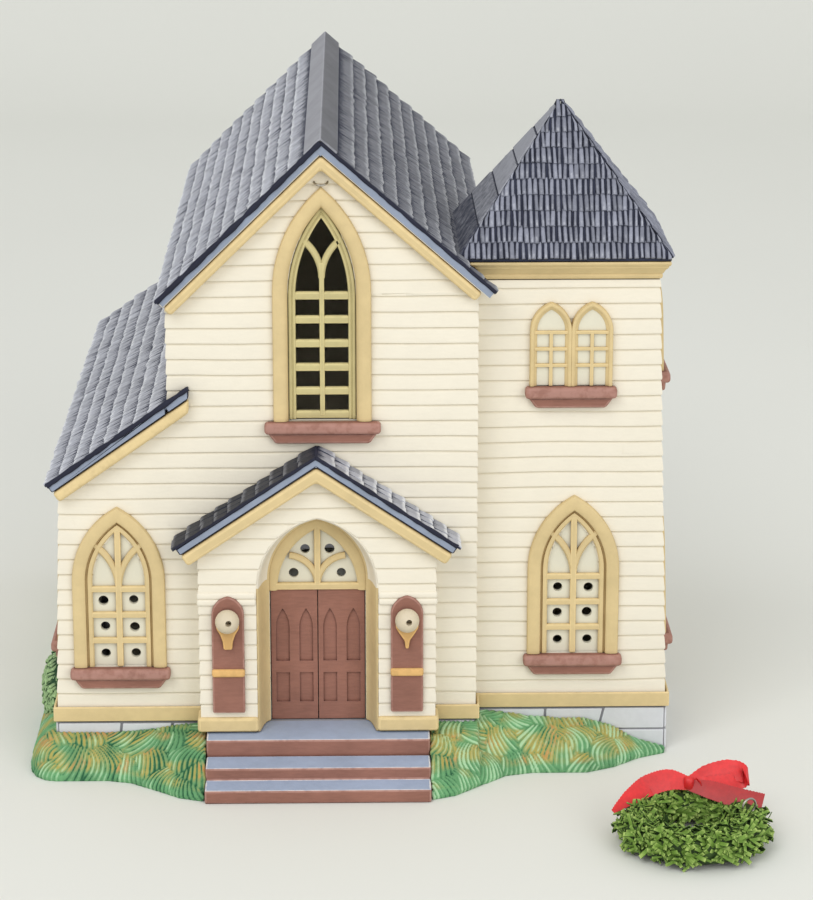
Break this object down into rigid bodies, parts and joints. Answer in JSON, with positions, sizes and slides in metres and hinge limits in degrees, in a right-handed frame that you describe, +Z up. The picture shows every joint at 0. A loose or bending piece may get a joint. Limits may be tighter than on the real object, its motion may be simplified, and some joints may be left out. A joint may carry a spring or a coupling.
{
  "type": "christmas village church",
  "caption": "Bisque village church for a tealight, with slate roofs, side aisle, corner tower, porch with steps, and a loose wreath beside it.",
  "frame": {"origin": "underside of the floor, on the nave's centreline and halfway along the nave's depth", "axes": "+Z up, +X to the tower side as seen from the front, +Y from the door to the rear opening"},
  "size_m": [0.2248, 0.3092, 0.2037],
  "materials": {
    "floor": "bare matt bisque",
    "stone": "matt paint, grey joints",
    "grass": "matt paint, brushed in greens and ochre",
    "bush": "matt paint",
    "tread": "matt paint, brown risers",
    "siding": "matt bisque with clapboard lines",
    "trim": "matt paint",
    "slate": "matt paint with dry-brushed edges",
    "lattice": "matt paint",
    "sill": "matt paint",
    "pane": "matt bisque",
    "wire": "thin bare wire",
    "sprig": "chopped dyed sprigs",
    "ribbon": "narrow ribbon",
    "cup": "thin pressed cup",
    "wax": "candle wax",
    "wick": "braided cotton"
  },
  "bodies": {
    "house": {"base_floor": "floor", "foundation": "stone", "grass_bank_left": "grass", "grass_bank_right": "grass", "side_bush": "bush", "landing": "tread", "steps": "tread", "nave_shell": "siding", "aisle_shell": "siding", "tower_shell": "siding", "porch_shell": "siding", "water_table_left": "trim", "water_table_right": "trim", "nave_roof_left": "slate", "nave_roof_right": "slate", "nave_ridge_cap": "slate", "nave_bargeboard_front": "trim", "nave_bargeboard_rear": "trim", "aisle_roof": "slate", "aisle_bargeboard_front": "trim", "aisle_bargeboard_rear": "trim", "tower_roof": "slate", "tower_cornice": "trim", "porch_roof": "slate", "porch_bargeboard": "trim", "gable_window_frame": "trim", "gable_window_lattice": "lattice", "gable_window_sill": "sill", "aisle_window_frame": "trim", "aisle_window_panes": "pane", "aisle_window_sill": "sill", "tower_window_frame": "trim", "tower_window_panes": "pane", "tower_window_sill": "sill", "twin_window_frame": "trim", "twin_window_panes": "pane", "twin_window_sill": "sill", "aisle_side_window_1": "trim", "aisle_side_window_2": "trim", "aisle_side_window_3": "trim", "nave_side_window_1": "trim", "nave_side_window_2": "trim", "tower_side_window": "trim", "tower_side_twin_window": "trim", "rear_opening_frame": "trim", "door_surround": "trim", "door_leaf_left": "sill", "door_leaf_right": "sill", "fanlight": "pane", "lantern_plaque_left": "sill", "lantern_plaque_right": "sill", "lantern_left": "pane", "lantern_right": "pane", "wreath_eye": "wire"},
    "wreath": {"wreath_ring": "sprig", "wreath_bow": "ribbon", "wreath_hook": "wire"},
    "tealight": {"tealight_cup": "cup", "tealight_wax": "wax", "tealight_wick": "wick"}
  },
  "joints": [
    {"name": "tealight_slide", "type": "slide", "parent": "house", "child": "tealight", "axis": [0, 1, 0], "range_m": [0, 0.112]},
    {"name": "wreath_lift", "type": "slide", "parent": "house", "child": "wreath", "axis": [0, 0, 1], "range_m": [0, 0.08]}
  ]
}
